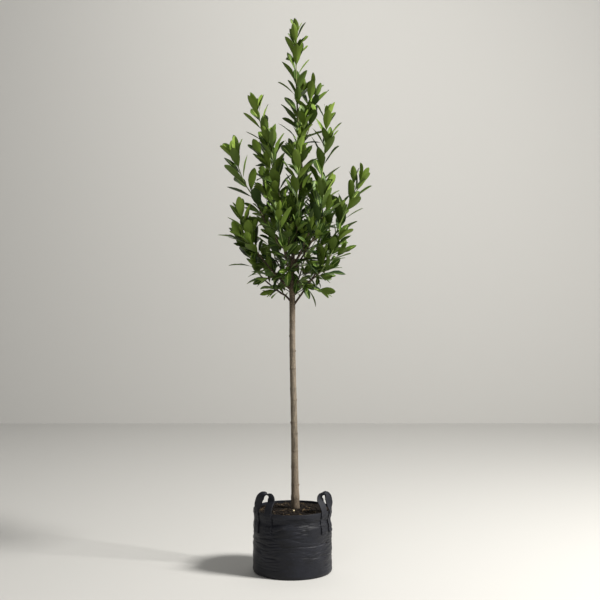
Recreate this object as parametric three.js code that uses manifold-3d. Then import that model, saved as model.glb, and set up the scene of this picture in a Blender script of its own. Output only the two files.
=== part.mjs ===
// A standard laurel: a small evergreen tree grown on one clear stem, its crown left unclipped, standing in a
// round fabric grow bag full of compost. Millimetres, +Z up, the front towards -Y.
// The origin is the middle of the bag's flat underside.
import * as THREE from "three";
import { mergeVertices } from "three/addons/utils/BufferGeometryUtils.js";
import Module from "manifold-3d";

const wasm = await Module();
wasm.setup();

// ---- driving dimensions ----
const GAP = 0.3; // between pieces that touch
const UP = new THREE.Vector3(0, 0, 1);

const BAG = { height: 305, belly: 191, shoulder: 165, mouth: 187, wall: 3, corner: 14, foot: 181 };
const BASE_THICKNESS = 3;
// The compost's heights at the wall and in the middle, and the radius of its flat middle.
const COMPOST = { edge: 291, crown: 297, flat: 48 };

// The clear stem leans a little, and the leader above the fork wanders up through the crown.
const STEM_LINE = [
  [13, 0, COMPOST.crown + GAP],
  [9, 3, 640],
  [0, -2, 1056],
  [-1, 0, 1290],
  [-2, 4, 1440],
  [22, 0, 1704],
  [44, 6, 1877],
  [34, 4, 2069],
  [21, 0, 2261],
  [17, -2, 2453],
  [19, 0, 2588],
];
const STEM = { foot: 15.9, top: 13.6, flare: 4.6, flareHeight: 190, fork: 1430, leader: 9.6, tip: 1.5 };
const STEM_SIDES = 10;
const STEM_STEPS = 23;

const TIP_LEAF = 72; // how far the top leaves stand past the end of a shoot
const CANE = { tip: 2, sides: 6, steps: 4 };

// Each shoot leaves the stem at height `from`, sweeps up to `tip`, and carries leaves from the share `bare` of
// its length. `sweep` is 0 for a straight shoot and 1 for one that leaves flat and turns upright. `spread` is
// how far its leaves stand off it, and `thick` is the bough's radius where it leaves the stem.
const SHOOTS = [
  { name: "left_tall", from: 1560, tip: [-166, 12, 2215], sweep: 0.12, bare: 0.3, spread: 68, thick: 5 },
  { name: "left_wide", from: 1500, tip: [-286, -20, 1982], sweep: 0.35, bare: 0.36, spread: 80, thick: 5 },
  { name: "left_middle", from: 1350, tip: [-252, -70, 1690], sweep: 0.42, bare: 0.36, spread: 80, thick: 5 },
  { name: "left_low", from: 1296, tip: [-250, 60, 1580], sweep: 0.5, bare: 0.2, spread: 80, thick: 5.5 },
  { name: "right_tall", from: 1465, tip: [166, 0, 2165], sweep: 0.9, bare: 0.22, spread: 68, thick: 6 },
  { name: "right_wide", from: 1272, tip: [324, -8, 1862], sweep: 0.3, bare: 0.38, spread: 82, thick: 6.5 },
  { name: "leader_side", from: 2010, tip: [92, 14, 2285], sweep: 0.6, bare: 0.2, spread: 50, thick: 3.2 },
  { name: "front_left", from: 1545, tip: [-96, -130, 2040], sweep: 0.6, bare: 0.22, spread: 70, thick: 4.5 },
  { name: "front_middle", from: 1500, tip: [30, -175, 1965], sweep: 0.75, bare: 0.2, spread: 80, thick: 4.5 },
  { name: "front_right", from: 1440, tip: [150, -175, 1790], sweep: 0.6, bare: 0.26, spread: 86, thick: 4.5 },
  { name: "front_low", from: 1395, tip: [-60, -212, 1690], sweep: 0.6, bare: 0.2, spread: 94, thick: 4.5 },
  { name: "right_low", from: 1336, tip: [222, -75, 1575], sweep: 0.5, bare: 0.2, spread: 76, thick: 5 },
  { name: "back_left", from: 1520, tip: [-130, 205, 1955], sweep: 0.5, bare: 0.26, spread: 78, thick: 4.5 },
  { name: "back_middle", from: 1580, tip: [34, 225, 2050], sweep: 0.5, bare: 0.26, spread: 80, thick: 4.5 },
  { name: "back_right", from: 1470, tip: [170, 190, 1850], sweep: 0.5, bare: 0.26, spread: 70, thick: 4.5 },
  { name: "back_low_left", from: 1370, tip: [-130, 225, 1650], sweep: 0.4, bare: 0.22, spread: 84, thick: 4.5 },
  { name: "back_low_right", from: 1322, tip: [80, 248, 1610], sweep: 0.4, bare: 0.22, spread: 88, thick: 5 },
];

// Leaves that the stem itself carries, between two heights.
const STEM_MASSES = [
  { name: "leader_top", low: 2190, high: 2588, spread: 60, past: 68 },
  { name: "leader_middle", low: 1850, high: 2215, spread: 72, past: 10 },
  { name: "heart", low: 1430, high: 1870, spread: 92, past: 10 },
];

// Each handle is one strap, sewn to the wall at both ends, with a loop standing up between them. `feet` are
// the bearings of its ends in degrees, 0 towards +X and -90 to the front. The leg at the first foot leans in
// over the compost by `lean`, and the strap curls over outwards from there and comes down at the second foot.
// The loop turns to face the bearing `facing`.
const STRAP = { width: 40, thick: 3.2, sewn: 104 };
const HANDLES = [
  { name: "handle_left", feet: [-127, -153], facing: -129, rise: 80, lean: 30 },
  { name: "handle_right", feet: [-38, -18], facing: -46, rise: 75, lean: 24 },
];
// A loop's route between its feet: the share of the way round, of the lean and of the rise.
const LOOP = [
  [0.01, 0.3, 0.34],
  [0.05, 0.95, 0.68],
  [0.18, 1, 0.93],
  [0.42, 0.62, 1],
  [0.7, 0.25, 0.83],
  [0.9, 0.12, 0.45],
];

const STUB = { radius: 4, height: 15, at: [7, -100] }; // a sucker cut off short, in front of the stem

// ---- materials ----
const finish = (color, roughness) => new THREE.MeshStandardMaterial({ color, roughness, metalness: 0 });
const BARK = finish(0x7b7263, 0.85);
const CUT_WOOD = finish(0xd8c9a0, 0.7);
const LEAF = finish(0x3b5a24, 0.4);
const BAG_CLOTH = finish(0x26282b, 0.9);
const PEAT = finish(0x2a211a, 1);

// ---- solids ----
const mix = THREE.MathUtils.lerp;
const ramp = (x, low, high) => THREE.MathUtils.smoothstep(x, low, high);

function solidOf(geometry) {
  for (const name of ["normal", "uv"]) geometry.deleteAttribute(name);
  const merged = mergeVertices(geometry, 1e-4);
  const vertProperties = merged.attributes.position.array;
  const triVerts = new Uint32Array(merged.index.array);
  return new wasm.Manifold(new wasm.Mesh({ numProp: 3, vertProperties, triVerts }));
}

function geometryOf(solid) {
  const { vertProperties, triVerts, numProp } = solid.getMesh();
  const points = Array.from({ length: vertProperties.length / numProp }, (_, i) =>
    vertProperties.slice(i * numProp, i * numProp + 3),
  );
  const geometry = new THREE.BufferGeometry();
  geometry.setAttribute("position", new THREE.Float32BufferAttribute(points.flatMap((p) => [...p]), 3));
  geometry.setIndex([...triVerts]);
  geometry.computeVertexNormals();
  return geometry;
}

// The largest of a solid's separate bodies: a mass that its neighbours cut through keeps its main part.
function largest(solid) {
  return solid.decompose().reduce((best, body) => (body.volume() > best.volume() ? body : best));
}

const without = (solid, others) => largest(others.reduce((left, other) => left.subtract(other), solid));

// Moves every vertex of a geometry whose long axis is Y onto a curve. `place` gives, for a vertex, its share of
// the way along the curve and its two distances from it.
function alongCurve(geometry, curve, place) {
  const points = geometry.attributes.position;
  const vertex = new THREE.Vector3();
  for (let i = 0; i < points.count; i++) {
    const [share, side, front] = place(vertex.fromBufferAttribute(points, i));
    const tangent = curve.getTangentAt(share);
    const across = new THREE.Vector3(1, 0, 0).addScaledVector(tangent, -tangent.x).normalize();
    const ahead = new THREE.Vector3().crossVectors(across, tangent);
    const at = curve.getPointAt(share).addScaledVector(across, side).addScaledVector(ahead, front);
    points.setXYZ(i, at.x, at.y, at.z);
  }
  return geometry;
}

function limb(curve, radiusAt, sides, steps) {
  const tube = new THREE.CylinderGeometry(1, 1, 1, sides, steps);
  return solidOf(
    alongCurve(tube, curve, ({ x, y, z }) => {
      const share = y + 0.5;
      const radius = radiusAt(share);
      return [share, x * radius, z * radius];
    }),
  );
}

// A mass of leaves round a curve: an uneven spindle that fills out quickly and narrows towards its tip.
// `grow` makes it that much larger all over, for cutting its neighbours.
const MASS_SIDES = 10;
const MASS_RINGS = 8;
function leafMass(curve, spread, seed, grow = 0) {
  const turn = (k) => 2 * Math.PI * ((Math.sin(seed * 12.9898 + k * 78.233) * 43758.5453) % 1);
  const lumps = [
    { count: 2, rise: 5, depth: 0.12 },
    { count: 3, rise: -9, depth: 0.11 },
    { count: 5, rise: 14, depth: 0.07 },
  ];
  const ball = new THREE.SphereGeometry(1, MASS_SIDES, MASS_RINGS);
  return solidOf(
    alongCurve(ball, curve, ({ x, y, z }) => {
      const share = 1 - Math.acos(THREE.MathUtils.clamp(y, -1, 1)) / Math.PI;
      const off = Math.hypot(x, z);
      if (off < 1e-4) return [share, 0, 0];
      const bearing = Math.atan2(z, x);
      const uneven = lumps.reduce(
        (sum, { count, rise, depth }, k) => sum + depth * Math.sin(count * bearing + rise * share + turn(k)),
        1,
      );
      const full = Math.min(1, share / 0.24) ** 0.6 * (1 - 0.5 * share ** 2) * Math.sqrt(1 - share ** 9);
      const radius = spread * full * uneven + grow;
      return [share, (x / off) * radius, (z / off) * radius];
    }),
  );
}

// ---- stem ----
const stemCurve = new THREE.CatmullRomCurve3(STEM_LINE.map((p) => new THREE.Vector3(...p)));
const stemLow = STEM_LINE[0][2];
const stemHigh = STEM_LINE.at(-1)[2];

function stemPointAt(height) {
  let [low, high] = [0, 1];
  for (let i = 0; i < 30; i++) {
    const middle = (low + high) / 2;
    if (stemCurve.getPointAt(middle).z < height) low = middle;
    else high = middle;
  }
  return { share: low, point: stemCurve.getPointAt(low) };
}

function stemRadius(share) {
  const height = stemCurve.getPointAt(share).z;
  const clear = mix(STEM.foot, STEM.top, (height - stemLow) / (STEM.fork - stemLow));
  const leader = mix(STEM.leader, STEM.tip, (height - STEM.fork) / (stemHigh - STEM.fork));
  const flare = STEM.flare * Math.exp(-(height - stemLow) / STEM.flareHeight);
  return mix(clear, leader, ramp(height, STEM.fork - 50, STEM.fork + 60)) + flare;
}

// The foot is cut flat, whatever the curve's slope there.
function stemSolid(grow) {
  const solid = limb(stemCurve, (share) => stemRadius(share) + grow, STEM_SIDES, STEM_STEPS);
  return solid.trimByPlane([0, 0, 1], stemLow + 0.5);
}

const stem = stemSolid(0);
const stemCutter = stemSolid(GAP);

// ---- boughs and masses ----
function shootCurve({ from, tip, sweep }) {
  const start = stemPointAt(from).point;
  const end = new THREE.Vector3(...tip);
  const way = end.clone().sub(start);
  const early = mix(1 / 3, 0.62, sweep);
  const earlyRise = mix(1 / 3, 0.18, sweep);
  const late = mix(1 / 3, 0.06, sweep);
  const lateRise = mix(1 / 3, 0.46, sweep);
  const first = start.clone().add(new THREE.Vector3(way.x * early, way.y * early, way.z * earlyRise));
  const second = end.clone().sub(new THREE.Vector3(way.x * late, way.y * late, way.z * lateRise));
  return new THREE.CubicBezierCurve3(start, first, second, end);
}

// The stretch of a curve between two shares, carried on past its end.
function stretch(curve, low, high, past = 0) {
  const points = Array.from({ length: 9 }, (_, i) => curve.getPointAt(mix(low, high, i / 8)));
  if (past) points.push(points.at(-1).clone().addScaledVector(curve.getTangentAt(high), past));
  return new THREE.CatmullRomCurve3(points);
}

const shoots = SHOOTS.map((shoot, i) => {
  const curve = shootCurve(shoot);
  const limbCurve = stretch(curve, 0, shoot.bare);
  const leafCurve = stretch(curve, shoot.bare, 1, TIP_LEAF);
  const radius = (share) => mix(shoot.thick, mix(shoot.thick, CANE.tip, shoot.bare), share);
  return {
    name: shoot.name,
    bough: (grow) => limb(limbCurve, (share) => radius(share) + grow, CANE.sides, CANE.steps),
    mass: (grow) => leafMass(leafCurve, shoot.spread, i + 1, grow),
  };
});

const stemMasses = STEM_MASSES.map(({ name, low, high, spread, past }, i) => {
  const curve = stretch(stemCurve, stemPointAt(low).share, stemPointAt(high).share, past);
  return { name, mass: (grow) => leafMass(curve, spread, 41 + i, grow) };
});

const part = new THREE.Group();

function add(name, solid, material) {
  const mesh = new THREE.Mesh(geometryOf(solid), material);
  mesh.name = name;
  part.add(mesh);
}

add("stem", stem, BARK);

const limbCutters = [stemCutter];
for (const shoot of shoots) {
  add(`bough_${shoot.name}`, without(shoot.bough(0), limbCutters), BARK);
  limbCutters.push(shoot.bough(GAP));
}

const massCutters = [...limbCutters];
for (const { name, mass } of [...stemMasses, ...shoots]) {
  add(`leaves_${name}`, without(mass(0), massCutters), LEAF);
  massCutters.push(mass(2 * GAP));
}

// ---- bag and compost ----
const turned = (profile, sides) => {
  const points = profile.map(([radius, height]) => new THREE.Vector2(radius, height));
  return solidOf(new THREE.LatheGeometry(points, sides).rotateX(Math.PI / 2));
};
const BAG_SIDES = 36;

// The wall's outer radius: it turns in over the corner to the foot, and draws in a little above the shoulder.
const bagRadius = (height) =>
  mix(BAG.belly, BAG.mouth, Math.max(0, height - BAG.shoulder) / (BAG.height - BAG.shoulder)) -
  (BAG.belly - BAG.foot) * (1 - Math.sqrt(1 - Math.max(0, 1 - height / BAG.corner) ** 2));

const wallHeights = [0, 4, BAG.corner, BAG.shoulder, BAG.height];
const outerWall = wallHeights.map((height) => [bagRadius(height), height]);
const innerWall = outerWall.map(([radius, height]) => [radius - BAG.wall, height]).reverse();
add("bag_side", turned([...outerWall, ...innerWall, outerWall[0]], BAG_SIDES), BAG_CLOTH);

const baseRadius = BAG.foot - BAG.wall - GAP;
const base = [
  [0, 0],
  [baseRadius, 0],
  [baseRadius, BASE_THICKNESS],
  [0, BASE_THICKNESS],
];
add("bag_base", turned(base, BAG_SIDES), BAG_CLOTH);

const compostFloor = BASE_THICKNESS + GAP;
const againstWall = wallHeights.filter((height) => height > compostFloor && height < COMPOST.edge);
const compostProfile = [
  [0, compostFloor],
  [baseRadius, compostFloor],
  ...[...againstWall, COMPOST.edge].map((height) => [bagRadius(height) - BAG.wall - 2 * GAP, height]),
  [BAG.belly * 0.62, mix(COMPOST.edge, COMPOST.crown, 0.72)],
  [COMPOST.flat, COMPOST.crown],
  [0, COMPOST.crown],
];
add("compost", turned(compostProfile, BAG_SIDES), PEAT);

// ---- stub ----
const stubFoot = new THREE.Vector3(...STUB.at, COMPOST.crown + GAP);
const stubTop = stubFoot.clone().addScaledVector(UP, STUB.height);
add("cut_stub", limb(new THREE.LineCurve3(stubFoot, stubTop), () => STUB.radius, 8, 1), CUT_WOOD);

// ---- handles ----
const STRAP_STEPS = 34;

function strapLine({ feet, rise, lean }) {
  const [near, far] = feet.map(THREE.MathUtils.degToRad);
  const at = (share, inward, above) => {
    const height = BAG.height + above;
    const radius = bagRadius(Math.min(height, BAG.height)) + GAP + STRAP.thick / 2 - lean * inward;
    const bearing = mix(near, far, share);
    return new THREE.Vector3(Math.cos(bearing) * radius, Math.sin(bearing) * radius, height);
  };
  const sewn = [-STRAP.sewn, -STRAP.sewn / 2, 0];
  return new THREE.CatmullRomCurve3([
    ...sewn.map((above) => at(0, 0, above)),
    ...LOOP.map(([share, inward, above]) => at(share, inward, above * rise)),
    ...sewn.map((above) => at(1, 0, above)).reverse(),
  ]);
}

// The strap's width lies round the bag where it is sewn, and square to the loop's own bearing above the rim.
function strap(handle) {
  const curve = strapLine(handle);
  const facing = THREE.MathUtils.degToRad(handle.facing);
  const turn = Math.sign(handle.feet[1] - handle.feet[0]);
  const block = new THREE.BoxGeometry(STRAP.width, STRAP.thick, 1, 1, 1, STRAP_STEPS);
  const points = block.attributes.position;
  for (let i = 0; i < points.count; i++) {
    const share = points.getZ(i) + 0.5;
    const at = curve.getPointAt(share);
    const tangent = curve.getTangentAt(share);
    const above = ramp(at.z, BAG.height, BAG.height + 30);
    const bearing = mix(Math.atan2(at.y, at.x), facing, above);
    const across = new THREE.Vector3(-Math.sin(bearing), Math.cos(bearing), 0).multiplyScalar(turn);
    across.addScaledVector(tangent, -across.dot(tangent)).normalize();
    const face = new THREE.Vector3().crossVectors(tangent, across);
    at.addScaledVector(across, points.getX(i)).addScaledVector(face, points.getY(i));
    points.setXYZ(i, at.x, at.y, at.z);
  }
  return solidOf(block);
}

for (const handle of HANDLES) add(handle.name, strap(handle), BAG_CLOTH);

export default part;
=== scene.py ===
# A standard laurel: a small evergreen grown on one clear stem, with an unclipped head of large glossy
# leaves, standing in a round fabric grow bag of compost. Metres, +Z up, the front towards -Y.
import math
import random

import bmesh
import bpy
import numpy as np
from mathutils import Matrix, Vector, noise


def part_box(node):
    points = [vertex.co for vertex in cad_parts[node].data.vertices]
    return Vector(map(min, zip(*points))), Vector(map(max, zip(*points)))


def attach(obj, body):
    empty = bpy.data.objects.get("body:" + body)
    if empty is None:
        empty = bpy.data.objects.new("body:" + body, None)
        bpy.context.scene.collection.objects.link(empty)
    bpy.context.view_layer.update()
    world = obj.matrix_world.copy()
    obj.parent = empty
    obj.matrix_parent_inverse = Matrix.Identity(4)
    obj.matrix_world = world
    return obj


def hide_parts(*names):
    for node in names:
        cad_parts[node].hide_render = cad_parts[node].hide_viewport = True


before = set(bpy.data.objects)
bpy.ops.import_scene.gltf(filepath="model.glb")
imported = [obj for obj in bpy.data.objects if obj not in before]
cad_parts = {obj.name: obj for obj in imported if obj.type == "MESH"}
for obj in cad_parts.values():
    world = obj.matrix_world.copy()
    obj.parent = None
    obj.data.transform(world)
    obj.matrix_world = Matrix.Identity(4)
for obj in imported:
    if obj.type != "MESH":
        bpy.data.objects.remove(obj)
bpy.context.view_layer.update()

# ---- Stem ----
# One woody stem, grafted low down, that runs from the compost up through the head as its leader. The bark
# is young and smooth, and carries node scars, fine cracks and small raised pores.
STEM_SIDES = 40
STEM_RING = 0.006  # height between rings of the mesh
GRAFT = {"height": 0.352, "swell": 0.0016, "reach": 0.013}
FLARE = {"lobes": 5, "swell": 0.0014, "reach": 0.018}
NODE_SCARS = (0.412, 0.498, 0.575, 0.657, 0.710, 0.820, 0.873, 0.969, 1.055, 1.128, 1.196, 1.262)
SCAR = {"raise": 0.0016, "half_height": 0.0035, "boss": 0.0024, "darkest": 0.6}
SCAR_TURN = 2.4  # radians from each scar's bud to the next one's
RELIEF_REACH = 0.008  # a thinner stem has less room for relief


def unit(vectors):
    return vectors / np.maximum(np.linalg.norm(vectors, axis=-1, keepdims=True), 1e-9)


def cad_points(name):
    return np.array([v.co[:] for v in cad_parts[name].data.vertices])


def polar(reach, bearing, height):
    return (math.cos(bearing) * reach, math.sin(bearing) * reach, height)


def run_along(line):
    """How far along a line each of its points is."""
    return np.concatenate([[0], np.cumsum(np.linalg.norm(np.diff(line, axis=0), axis=1))])


def point_at(line, run, at):
    return np.array([np.interp(at, run, line[:, k]) for k in range(3)])


def smooth_line(knots, count):
    """Points at even distances along a smooth curve through the knots."""
    knots = np.array(knots, float)
    ends = np.vstack([2 * knots[0] - knots[1], knots, 2 * knots[-1] - knots[-2]])
    fine = []
    for a, b, c, d in zip(ends, ends[1:], ends[2:], ends[3:]):
        t0, t1, t2, t3 = np.cumsum([0, *(math.sqrt(math.dist(p, q)) for p, q in ((a, b), (b, c), (c, d)))])
        t = np.linspace(t1, t2, 24, endpoint=False)[:, None]
        ab, bc, cd = (a + (b - a) * (t - t0) / (t1 - t0), b + (c - b) * (t - t1) / (t2 - t1),
                      c + (d - c) * (t - t2) / (t3 - t2))
        abc, bcd = ab + (bc - ab) * (t - t0) / (t2 - t0), bc + (cd - bc) * (t - t1) / (t3 - t1)
        fine.append(abc + (bcd - abc) * (t - t1) / (t2 - t1))
    fine = np.vstack([*fine, knots[-1:]])
    run = run_along(fine)
    return np.ascontiguousarray(point_at(fine, run, np.linspace(0, run[-1], count)).T)


def directions_along(line):
    """A line's direction at each point, and two directions square to it that don't twist along it."""
    along = unit(np.gradient(line, axis=0))
    side = np.empty_like(line)
    side[0] = unit(np.cross(along[0], (0.0, 1.0, 0.0) if abs(along[0][1]) < 0.9 else (1.0, 0.0, 0.0)))
    for i in range(1, len(line)):
        side[i] = unit(side[i - 1] - along[i] * (side[i - 1] @ along[i]))
    return along, side, np.cross(along, side)


def taken_from(bm):
    """A bmesh's points and faces as lists. The bmesh is freed."""
    points = np.array([v.co[:] for v in bm.verts])
    faces = [[v.index for v in face.verts] for face in bm.faces]
    bm.free()
    return points, faces


def repeated(faces, size, count):
    """The faces of many copies of a shape that has so many points."""
    return [[n * size + k for k in face] for n in range(count) for face in faces]


def tube_shape(sides, steps):
    """A tube one high and one in radius, closed at both ends: its points and its faces."""
    bm = bmesh.new()
    bmesh.ops.create_cone(bm, cap_ends=True, segments=sides, radius1=1, radius2=1, depth=1)
    upright = [e for e in bm.edges if abs(e.verts[0].co.z - e.verts[1].co.z) > 0.5]
    if steps > 1:
        bmesh.ops.subdivide_edges(bm, edges=upright, cuts=steps - 1, use_grid_fill=True)
    bmesh.ops.translate(bm, verts=bm.verts, vec=(0, 0, 0.5))
    bmesh.ops.recalc_face_normals(bm, faces=bm.faces)
    return taken_from(bm)


def bent_tube(shape, line, radii):
    """The tube's points once it is bent along a line that has one point for each of its rings."""
    points, _ = shape
    ring = np.rint(points[:, 2] * (len(line) - 1)).astype(int)
    _, side, ahead = directions_along(line)
    across = side[ring] * points[:, :1] + ahead[ring] * points[:, 1:2]
    return line[ring] + across * np.asarray(radii)[ring][:, None]


def in_scene(name, data):
    """An object that has this mesh, lamp or camera."""
    made = bpy.data.objects.new(name, data)
    bpy.context.scene.collection.objects.link(made)
    return made


def piece_of(mesh, materials, smooth=True):
    """Makes a mesh one of the object's pieces."""
    for material in materials:
        mesh.materials.append(material)
    if smooth:
        mesh.shade_smooth()
    piece = in_scene(mesh.name, mesh)
    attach(piece, "root")
    return piece


def add_piece(name, points, faces, materials, kinds=None, smooth=True):
    """A piece from lists of points and faces, and of which material each face has."""
    mesh = bpy.data.meshes.new(name)
    mesh.from_pydata(np.asarray(points).tolist(), [], faces)
    piece = piece_of(mesh, materials, smooth)
    if kinds is not None:
        mesh.polygons.foreach_set("material_index", kinds)
    mesh.validate()
    return piece


def linear(code):
    """A colour written as sRGB hex, as the linear colour that a shader takes."""
    shares = [int(code[i : i + 2], 16) / 255 for i in (1, 3, 5)]
    return (*[s / 12.92 if s <= 0.04045 else ((s + 0.055) / 1.055) ** 2.4 for s in shares], 1)


def put(tree, kind, inputs=None, feeds=None, stops=(), **settings):
    """Adds one shader node: its settings, its inputs as values, sockets or nodes, the socket that it feeds,
    and the places and colours of a ramp."""
    made = tree.nodes.new("ShaderNode" + kind)
    for name, value in settings.items():
        setattr(made, name, value)
    for socket, value in (inputs or {}).items():
        if isinstance(value, bpy.types.Node):
            value = value.outputs[0]
        if isinstance(value, bpy.types.NodeSocket):
            tree.links.new(value, made.inputs[socket])
        else:
            made.inputs[socket].default_value = value
    ramp = made.color_ramp.elements if stops else ()
    while len(ramp) < len(stops):
        ramp.new(0.5)
    for element, (place, code) in zip(ramp, stops):
        element.position, element.color = place, linear(code)
    if feeds is not None:
        tree.links.new(made.outputs[0], feeds)
    return made


def new_material(name, **surface):
    """A material with one Principled shader, whose sockets are set by name, and its node tree."""
    material = bpy.data.materials.new(name)
    material.use_nodes = True
    shader = material.node_tree.nodes["Principled BSDF"]
    for socket, value in surface.items():
        shader.inputs[socket.replace("_", " ")].default_value = value
    return material, material.node_tree, shader


def bark_material(name, heights, gain=1.0):
    """Young smooth bark: waxy grey-brown cork, finely cracked lengthwise, with raised pores across it. It
    looks matt, with paler streaks, and its colour changes slowly up the tree."""
    material, tree, shader = new_material(name, Roughness=0.82)
    place = put(tree, "TexCoord").outputs["Object"]
    height = put(tree, "SeparateXYZ", {0: place}).outputs["Z"]
    foot, top = heights[0][0], heights[-1][0]
    climb = put(tree, "MapRange", {"Value": height, "From Min": foot, "From Max": top})
    stops = [((z - foot) / (top - foot), code) for z, code in heights]
    ground = put(tree, "ValToRGB", {"Fac": climb}, stops=stops)
    # Streaks 3 mm wide and 40 mm long, and pores 1.5 mm high and 5 mm wide.
    tall = put(tree, "Mapping", {"Vector": place, "Scale": (330, 330, 25)})
    streaks = put(tree, "TexNoise", {"Vector": tall, "Scale": 1.0, "Detail": 5, "Roughness": 0.6})
    wide = put(tree, "Mapping", {"Vector": place, "Scale": (95, 95, 330)})
    pores = put(tree, "TexVoronoi", {"Vector": wide, "Scale": 1.0}, feature="F1")
    pore = put(tree, "MapRange", {"Value": pores, "From Min": 0.14, "From Max": 0.3})
    patches = put(tree, "TexNoise", {"Vector": place, "Scale": 22.0, "Detail": 4})
    lit = put(tree, "MapRange", {"Value": streaks, "From Min": 0.3, "From Max": 0.7,
                                 "To Min": 0.46 * gain, "To Max": 1.26 * gain})
    patch = put(tree, "MapRange", {"Value": patches, "From Min": 0.3, "From Max": 0.7,
                                   "To Min": 0.72, "To Max": 1.14})
    shade = put(tree, "Math", {0: lit, 1: patch}, operation="MULTIPLY")
    shaded = put(tree, "VectorMath", {0: ground, "Scale": shade}, operation="SCALE")
    pale = put(tree, "Mix", {"Factor": pore, "A": linear("#9c8a72"), "B": shaded}, data_type="RGBA")
    scar = put(tree, "Attribute", attribute_name="scar")
    scarred = put(tree, "Mix", {"Factor": scar.outputs["Fac"], "A": pale.outputs["Result"],
                                "B": linear("#33271c")}, data_type="RGBA")
    tree.links.new(scarred.outputs["Result"], shader.inputs["Base Color"])
    rough = put(tree, "Math", {0: streaks, 1: pore}, operation="SUBTRACT")
    put(tree, "Bump", {"Height": rough, "Strength": 0.5, "Distance": 0.0007}, shader.inputs["Normal"])
    return material


stem_bark = bark_material(
    "young laurel bark, grey-brown cork",
    [(0.29, "#5b4e3f"), (0.37, "#776a5a"), (0.75, "#796f60"), (1.15, "#776c5e"), (1.33, "#574938"),
     (1.75, "#453727"), (2.05, "#56562f"), (2.4, "#6d7a3b")],
)

stem_points = cad_points("stem")
stem_points = stem_points[np.argsort(stem_points[:, 2])]
stem_rings = np.split(stem_points, np.flatnonzero(np.diff(stem_points[:, 2]) > 0.012) + 1)
stem_knots = np.array([ring.mean(axis=0) for ring in stem_rings])
stem_knots[0][2] = stem_points[0][2]
stem_radii = [np.linalg.norm(ring[:, :2] - knot[:2], axis=1).mean()
              for ring, knot in zip(stem_rings, stem_knots)]


def stem_at(height):
    """The middle of the stem at a height."""
    return np.array([*[np.interp(height, stem_knots[:, 2], stem_knots[:, k]) for k in (0, 1)], height])


def stem_relief(height, bearing):
    """How far the bark stands off the stem's plain taper, at a height and a bearing round the stem."""
    lift = GRAFT["swell"] * math.exp(-(((height - GRAFT["height"]) / GRAFT["reach"]) ** 2))
    above = height - stem_points[0][2]
    lobe = 0.6 + 0.4 * math.sin(FLARE["lobes"] * bearing + 1.1)
    lift += FLARE["swell"] * lobe * math.exp(-above / FLARE["reach"])
    for k, scar in enumerate(NODE_SCARS):
        near = math.exp(-(((height - scar) / SCAR["half_height"]) ** 2))
        if near > 0.01:
            facing = max(0, math.cos(bearing - SCAR_TURN * k))
            lift += near * (SCAR["raise"] * (0.35 + 0.65 * facing) + SCAR["boss"] * facing**6)
    spot = Vector(polar(2.2, bearing, height * 42))
    fine = Vector((spot.x * 4, spot.y * 4, spot.z * 0.9))
    return lift + (0.0007 * noise.noise(spot) + 0.0004 * noise.noise(fine))


stem_foot, stem_top = stem_points[0][2], stem_points[-1][2]
stem_steps = round((stem_top - stem_foot) / STEM_RING)
stem_line = smooth_line(stem_knots, stem_steps + 1)
stem_taper = np.interp(stem_line[:, 2], stem_knots[:, 2], stem_radii)
stem_shape = tube_shape(STEM_SIDES, stem_steps)
bark_points = bent_tube(stem_shape, stem_line, stem_taper)
for point in bark_points:
    out = point - stem_at(point[2])
    reach = math.hypot(out[0], out[1])
    young = min(1.0, reach / RELIEF_REACH)
    bearing = math.atan2(out[1], out[0])
    point[:2] += out[:2] / max(reach, 1e-6) * stem_relief(point[2], bearing) * young
stem = add_piece("stem_bark", bark_points, stem_shape[1], [stem_bark])

# Each scar is stained dark, more so on its bud's side, and some are stained more than others.
bark_heights = bark_points[:, 2]
bark_out = bark_points - np.array([stem_at(height) for height in bark_heights])
bark_bearings = np.arctan2(bark_out[:, 1], bark_out[:, 0])
stain = np.zeros(len(bark_points))
for k, scar in enumerate(NODE_SCARS):
    near = np.exp(-(((bark_heights - scar - 0.001) / SCAR["half_height"]) ** 2))
    facing = 0.55 + 0.45 * np.cos(bark_bearings - SCAR_TURN * k)
    stain = np.maximum(stain, (0.3 + 0.7 * (0.618 * k % 1)) * near * facing)
scars = stem.data.attributes.new("scar", "FLOAT", "POINT")
scars.data.foreach_set("value", np.minimum(stain, SCAR["darkest"]))
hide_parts("stem")

# ---- Head: how the shoots grow ----
# Each bough leaves the stem, enters its own mass of leaves and ends in that mass's tip. Leaves sit on it in
# a spiral, and short side twigs with leaves of their own fill the head nearer the stem.
rng = random.Random(11)
TURN = math.radians(137.5)  # from one leaf to the next round the shoot
LEAF = {"length": 0.118, "shape": 0.362, "thick": 0.0007}  # shape: width for each metre of length
LEAN = {"foot": 54, "less": 30, "vary": 9}  # degrees from the shoot, at its foot, less at its tip
TIP_REACH = 0.072  # how far a mass stands past the end of its shoot
SPACING = {"low": 0.032, "high": 0.020}
BUD_LEAVES = 4
# Radii at the foot and the tip.
BOUGH, THIN_BOUGH, TWIG, FORK_TWIG = (0.0055, 0.0018), (0.0034, 0.0018), (0.0022, 0.0013), (0.0026, 0.0014)
LEADER_LOW, LEADER_HIGH = (0.010, 0.007), (0.006, 0.002)
woody = []  # lines and radii of brown wood
green = []  # the same for young green shoots
leaves = {}  # by kind, one row for each leaf

# Shares of each shoot that are bright with young leaves, and how far the low ones hang. Hanging also gives
# darker leaves, partly real age and partly painted shade.
BRIGHT = {"left_middle": 0.2, "right_tall": 0.24, "left_tall": 0.2, "right_wide": 0.08, "left_wide": 0.08,
          "leader_side": 0.08, "back_right": 0.2, "back_left": 0.14}
DROOP = {"left_low": 0.3, "right_low": 0.26, "back_low_right": 0.3, "back_low_left": 0.3, "front_low": 0.1}


def turned(side, ahead, bearing):
    return side * math.cos(bearing) + ahead * math.sin(bearing)


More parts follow.
